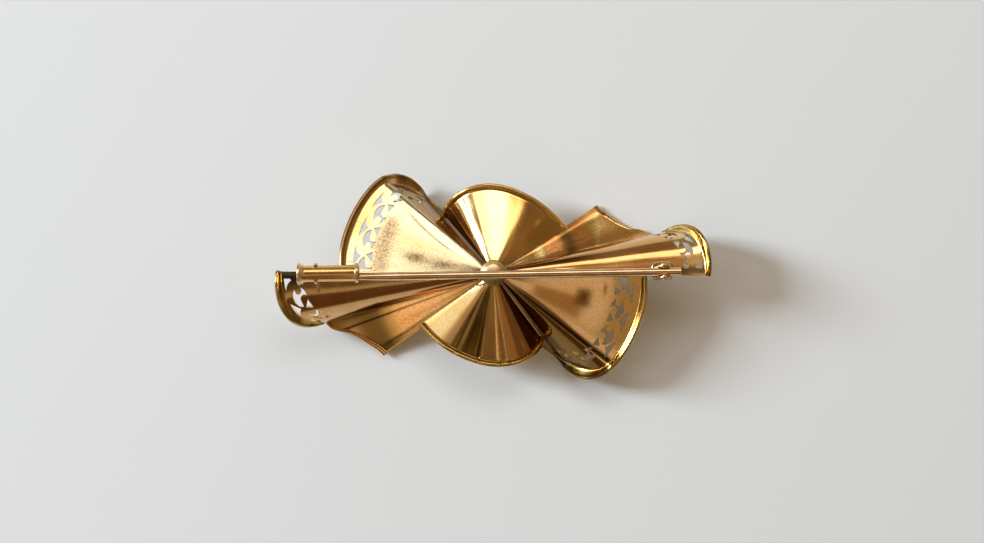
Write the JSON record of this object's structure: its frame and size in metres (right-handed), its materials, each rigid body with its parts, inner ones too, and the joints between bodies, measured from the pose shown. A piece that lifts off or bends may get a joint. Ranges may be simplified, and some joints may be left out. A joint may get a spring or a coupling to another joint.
{
  "type": "bow brooch",
  "caption": "Gold ribbon-bow brooch lying face down: folded loops with pierced scroll bands, fans, tails, centre rivet, hinged pin and sliding tube catch.",
  "frame": {"origin": "on the surface it lies on, under the middle of the bow's half-turn symmetry", "axes": "+X along the pin towards its hinge, +Y towards the top fan, +Z away from the surface, out of the brooch's back"},
  "size_m": [0.0598, 0.0296, 0.013],
  "materials": {
    "ribbon_gold": "polished yellow gold sheet with fine brushing and brown reflections",
    "fitting_gold": "polished yellow gold wire and tube, a little redder"
  },
  "bodies": {
    "bow": {"left_loop": "ribbon_gold", "right_loop": "ribbon_gold", "top_fan": "ribbon_gold", "bottom_fan": "ribbon_gold", "right_tail": "ribbon_gold", "left_tail": "ribbon_gold", "centre_rivet": "fitting_gold", "hinge_rivet": "fitting_gold"},
    "pin": {"pin_stem": "fitting_gold"},
    "slide": {"catch_slide": "fitting_gold"}
  },
  "joints": [
    {"name": "pin_hinge", "type": "hinge", "parent": "bow", "child": "pin", "pos_m": [0.02305, -0.00042, 0.01155], "axis": [0, 1, 0], "range_deg": [0, 110]},
    {"name": "catch_slide", "type": "slide", "parent": "bow", "child": "slide", "axis": [-1, 0, 0], "range_m": [0, 0.0045]}
  ]
}
